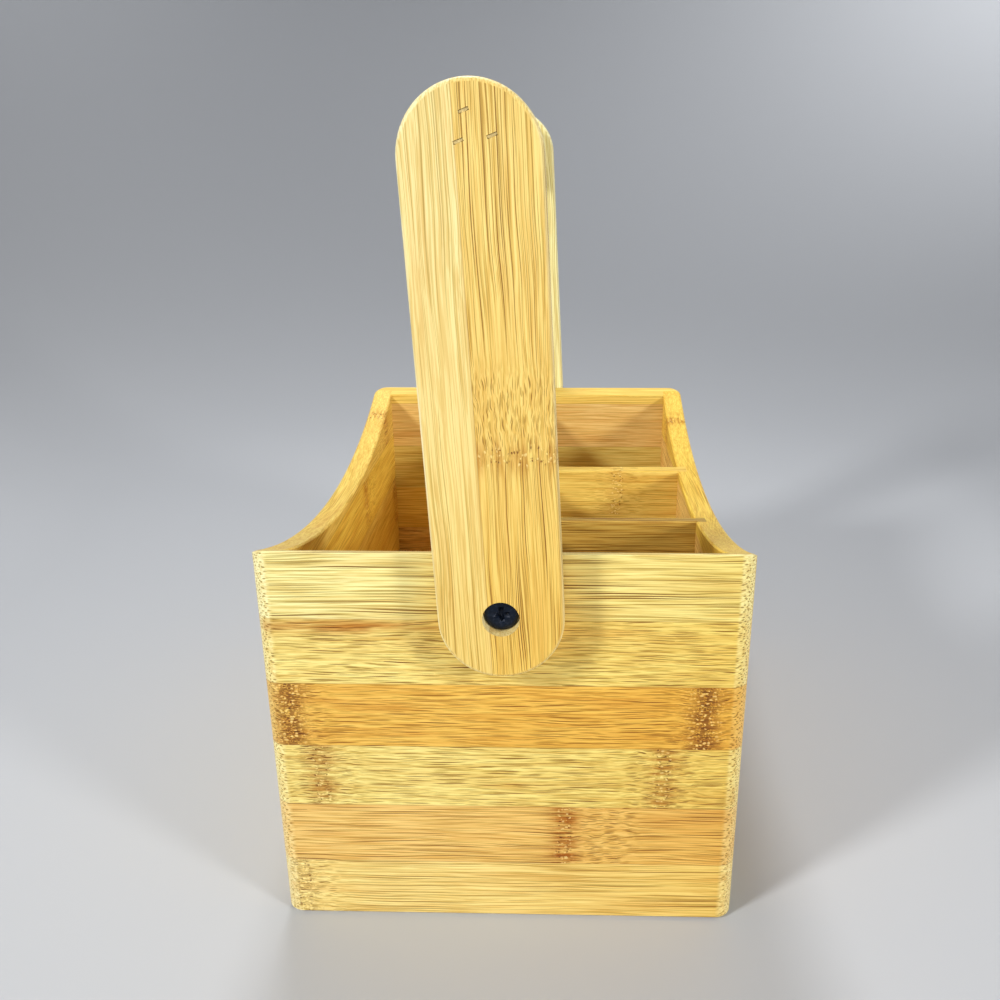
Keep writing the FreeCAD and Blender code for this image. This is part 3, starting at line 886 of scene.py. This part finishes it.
def brad_maker():
    """Brads set on the points of the mesh, their axes along Y."""
    tree, given, end = new_maker("set_brads", [
        ("Length", "Float", BRAD_LENGTH * MM), ("Head Wide", "Float", BRAD_HEAD[0] * MM),
        ("Head Thin", "Float", BRAD_HEAD[1] * MM), ("Shank Wide", "Float", BRAD_SHANK[0] * MM),
        ("Shank Thin", "Float", BRAD_SHANK[1] * MM), ("Head Height", "Float", BRAD_HEAD_HEIGHT * MM),
        ("Bow", "Float", BRAD_BOW * MM), ("Turn", "Float", 0.0), ("Direction", "Float", 1.0),
        ("Material", "Material", None),
    ])
    rows = 12
    bar = put(tree, "GeometryNodeMeshCube")
    bar.inputs["Size"].default_value = (1.0, 1.0, 1.0)
    for label, count in (("Vertices X", 7), ("Vertices Y", rows), ("Vertices Z", 3)):
        bar.inputs[label].default_value = count
    corner = split(tree, put(tree, "GeometryNodeInputPosition").outputs[0])
    down = maths(tree, "ADD", corner["Y"], 0.5)
    # Rows 0 and 1 are the head, the shank starts at row 2 and the last row is the point
    step = 1 / (rows - 1)
    below_head = ramp_between(tree, down, 1.2 * step, 1.8 * step)
    wide = between(tree, below_head, given["Head Wide"], given["Shank Wide"])
    thin = between(tree, below_head, given["Head Thin"], given["Shank Thin"])
    point = ramp_between(tree, down, 1.0 - step, 1.0, 1.0, 0.1)
    head_part = product(tree, maths(tree, "DIVIDE", down, step, clamp=True), given["Head Height"])
    shank_start = 1.9 * step
    rest = maths(tree, "DIVIDE", maths(tree, "SUBTRACT", down, shank_start), 1 - shank_start, clamp=True)
    shank_length = maths(tree, "SUBTRACT", given["Length"], given["Head Height"])
    depth = maths(tree, "ADD", head_part, product(tree, rest, shank_length))
    # The ends of the head are struck a little round
    outwards = product(tree, corner["X"], corner["X"], 4.0)
    rounding = scaled(tree, outwards, -0.4, 1.0)
    on_head = maths(tree, "SUBTRACT", 1.0, below_head)
    sag = product(tree, given["Bow"], maths(tree, "SUBTRACT", outwards, 0.5), on_head)
    brad = moved_points(tree, bar.outputs["Mesh"], join(
        tree, product(tree, corner["X"], wide, point),
        product(tree, depth, given["Direction"]),
        maths(tree, "ADD", product(tree, corner["Z"], thin, rounding), sag),
    ))
    copies = put(tree, "GeometryNodeInstanceOnPoints")
    feed(tree, copies.inputs["Points"], given["Geometry"])
    feed(tree, copies.inputs["Instance"], brad)
    feed(tree, copies.inputs["Rotation"], join(tree, 0.0, given["Turn"], 0.0))
    finished(tree, copies.outputs[0], given["Material"], end)
    return tree


def made_by(tree, name, points=((0.0, 0.0, 0.0),), **values):
    """Run a maker on some points and keep its result as a plain mesh object."""
    start = bpy.data.meshes.new(name + "_points")
    start.from_pydata(points, [], [])
    piece = bpy.data.objects.new(name, start)
    bpy.context.scene.collection.objects.link(piece)
    modifier = piece.modifiers.new("maker", "NODES")
    modifier.node_group = tree
    for item in tree.interface.items_tree:
        label = item.name.replace(" ", "_")
        if item.item_type == "SOCKET" and item.in_out == "INPUT" and label in values:
            modifier[item.identifier] = values[label]
    piece.update_tag()
    ready = piece.evaluated_get(bpy.context.evaluated_depsgraph_get())
    mesh = bpy.data.meshes.new_from_object(ready)
    piece.modifiers.remove(modifier)
    piece.data = mesh
    return piece


def clean(mesh):
    """Close the slivers that a cut leaves, and turn the faces outwards."""
    work = bmesh.new()
    work.from_mesh(mesh)
    bmesh.ops.remove_doubles(work, verts=work.verts, dist=SLIVER)
    bmesh.ops.dissolve_degenerate(work, edges=work.edges, dist=SLIVER)
    bmesh.ops.recalc_face_normals(work, faces=work.faces)
    work.to_mesh(mesh)
    work.free()


def set_screws(black):
    """Swap each CAD screw for a domed one, in the middle of its counterbore."""
    maker = screw_maker()
    for name, side in (("near", -1), ("far", 1)):
        node = "pivot_screw_" + name
        low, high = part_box(node)
        top = low[1] if side < 0 else high[1]
        piece = made_by(maker, "domed_screw_" + name, Material=black)
        turn = Matrix.Rotation(math.radians(-90 * side), 4, "X") @ Matrix.Rotation(SCREW_TURN, 4, "Z")
        piece.data.transform(Matrix.Translation((PIVOT.x, top, PIVOT.z)) @ turn)
        clean(piece.data)
        for polygon in piece.data.polygons:
            polygon.use_smooth = True
        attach(piece, "caddy")
        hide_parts(node)


def set_brads(steel):
    """Swap the CAD brads for struck ones, three in each arm."""
    maker = brad_maker()
    lean = Matrix.Rotation(-HANDLE_LEAN, 3, "Y")
    for name, side in (("near", -1), ("far", 1)):
        node = "handle_brads_" + name
        low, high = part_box(node)
        top = low[1] if side < 0 else high[1]
        points = []
        for across, along in BRAD_PLACES:
            up = lean @ Vector((across, 0.0, BAR_ABOVE_PIVOT + along)) * MM
            points.append((PIVOT.x + up.x, top, PIVOT.z + up.z))
        piece = made_by(maker, "struck_brads_" + name, points, Turn=-BRAD_TILT - HANDLE_LEAN,
                        Direction=float(-side), Material=steel)
        clean(piece.data)
        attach(piece, "handle")
        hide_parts(node)


# ---- stage ---------------------------------------------------------------------

CAMERA_PLACE = (0.01837, -0.38906, 0.25984)
CAMERA_DOWN = 19.90      # degrees below the horizon
CAMERA_LEFT = 1.66       # degrees from +Y towards -X
CAMERA_ROLL = -0.25
CAMERA_LENS = 34.91
CAMERA_SHIFT = -0.035


def set_camera():
    data = bpy.data.cameras.new("camera")
    data.sensor_width = 36.0
    data.lens = CAMERA_LENS
    data.shift_x = CAMERA_SHIFT
    data.clip_start = 0.01
    data.clip_end = 30.0
    camera = bpy.data.objects.new("camera", data)
    turn = Matrix.Rotation(math.radians(CAMERA_LEFT), 4, "Z")
    tilt = Matrix.Rotation(math.radians(90 - CAMERA_DOWN), 4, "X")
    roll = Matrix.Rotation(math.radians(CAMERA_ROLL), 4, "Z")
    camera.matrix_world = Matrix.Translation(CAMERA_PLACE) @ turn @ tilt @ roll
    bpy.context.scene.collection.objects.link(camera)
    bpy.context.scene.camera = camera


def aimed_at(place, target):
    """A light's placement that looks from one point to another."""
    look = (Vector(target) - Vector(place)).to_track_quat("-Z", "Y")
    return Matrix.Translation(place) @ look.to_matrix().to_4x4()


MIDDLE = (0.0, 0.0, 0.12)
RIGHT_OF_BACKDROP = (0.85, 1.75, 0.55)
LEFT_OF_BACKDROP = (-0.85, 1.75, 0.55)
# name, place, aimed at, metres across, watts, colour, spread in degrees
SOFTBOXES = (
    ("left_box", (-1.15, -0.97, 0.95), MIDDLE, 0.30, 4.7, (1.0, 0.995, 0.98), 90.0),
    ("right_box", (1.15, -0.90, 0.58), MIDDLE, 0.30, 1.8, (1.0, 0.98, 0.95), 70.0),
    ("front_box", (0.12, -1.30, 0.42), MIDDLE, 0.45, 0.25, WHITE, 70.0),
    ("top_box", (-0.09, 0.29, 1.00), MIDDLE, 0.24, 4.6, WHITE, 180.0),
    ("backdrop_box_right", (0.95, 0.80, 1.30), RIGHT_OF_BACKDROP, 0.50, 3.9, WHITE, 100.0),
    ("backdrop_box_left", (-0.95, 0.80, 1.30), LEFT_OF_BACKDROP, 0.50, 1.1, WHITE, 100.0),
)


def add_softbox(name, place, target, size, power, colour, spread):
    data = bpy.data.lights.new(name, "AREA")
    data.shape = "DISK"
    data.size = size
    data.energy = power
    data.spread = math.radians(spread)
    data.color = colour
    light = bpy.data.objects.new(name, data)
    light.matrix_world = aimed_at(place, target)
    light.visible_camera = False
    bpy.context.scene.collection.objects.link(light)


FLOOR_RADIUS = 0.60
BEND_RADIUS = 1.40
BACKDROP_TOP = 2.60
BEND_STEPS = 24
BOWL_SIDES = 96
FLOOR_GREY = (0.520, 0.537, 0.565, 1.0)
SKY_GREY = (0.55, 0.55, 0.56, 1.0)
SKY_STRENGTH = 0.66


def bowl_profile():
    """The floor and the backdrop round it, as (radius, z) from the flat's edge to the top."""
    profile = []
    for step in range(BEND_STEPS + 1):
        turn = math.pi / 2 * step / BEND_STEPS
        radius = FLOOR_RADIUS + BEND_RADIUS * math.sin(turn)
        profile.append((radius, BEND_RADIUS * (1 - math.cos(turn))))
    return profile + [(FLOOR_RADIUS + BEND_RADIUS, BACKDROP_TOP)]


def set_stage():
    """A pale floor that curves up into a backdrop on every side, an even sky and soft boxes."""
    sides = BOWL_SIDES
    points = [(0.0, 0.0, 0.0)]
    for radius, z in bowl_profile():
        for side in range(sides):
            angle = math.tau * side / sides
            points.append((radius * math.cos(angle), radius * math.sin(angle), z))
    faces = [(0, 1 + side, 1 + (side + 1) % sides) for side in range(sides)]
    for lower in range(1, len(points) - sides, sides):
        upper = lower + sides
        for side in range(sides):
            following = (side + 1) % sides
            faces.append((lower + side, upper + side, upper + following, lower + following))
    mesh = bpy.data.meshes.new("floor")
    mesh.from_pydata(points, [], faces)
    for polygon in mesh.polygons:
        polygon.use_smooth = True
    floor = bpy.data.objects.new("floor", mesh)
    material, _, shader = new_material("pale_floor")
    shader.inputs["Base Color"].default_value = FLOOR_GREY
    shader.inputs["Roughness"].default_value = 0.95
    mesh.materials.append(material)
    bpy.context.scene.collection.objects.link(floor)

    world = bpy.data.worlds.new("studio")
    world.use_nodes = True
    background = world.node_tree.nodes["Background"]
    background.inputs["Color"].default_value = SKY_GREY
    background.inputs["Strength"].default_value = SKY_STRENGTH
    bpy.context.scene.world = world

    for box in SOFTBOXES:
        add_softbox(*box)
    bpy.context.scene.view_settings.view_transform = "Standard"


# ---- make it all -----------------------------------------------------------------

set_camera()
set_stage()
bamboo_groups = {"layout": strip_layout_group(), "bamboo": bamboo_group(ring_group(), dash_group())}
dress_boards(bamboo_groups)

black_oxide = plain_finish("black_oxide", srgb(12, 24, 42), roughness=0.34, metallic=0.20, gloss=0.25)
dull_steel = plain_finish("dull_steel", srgb(200, 176, 116), roughness=0.55, metallic=0.25)
nylon = plain_finish("nylon", srgb(228, 226, 214), roughness=0.45)
for end_name in ("near", "far"):
    frame["nodes"]["pivot_washer_" + end_name].data.materials[0] = nylon
set_screws(black_oxide)
set_brads(dull_steel)
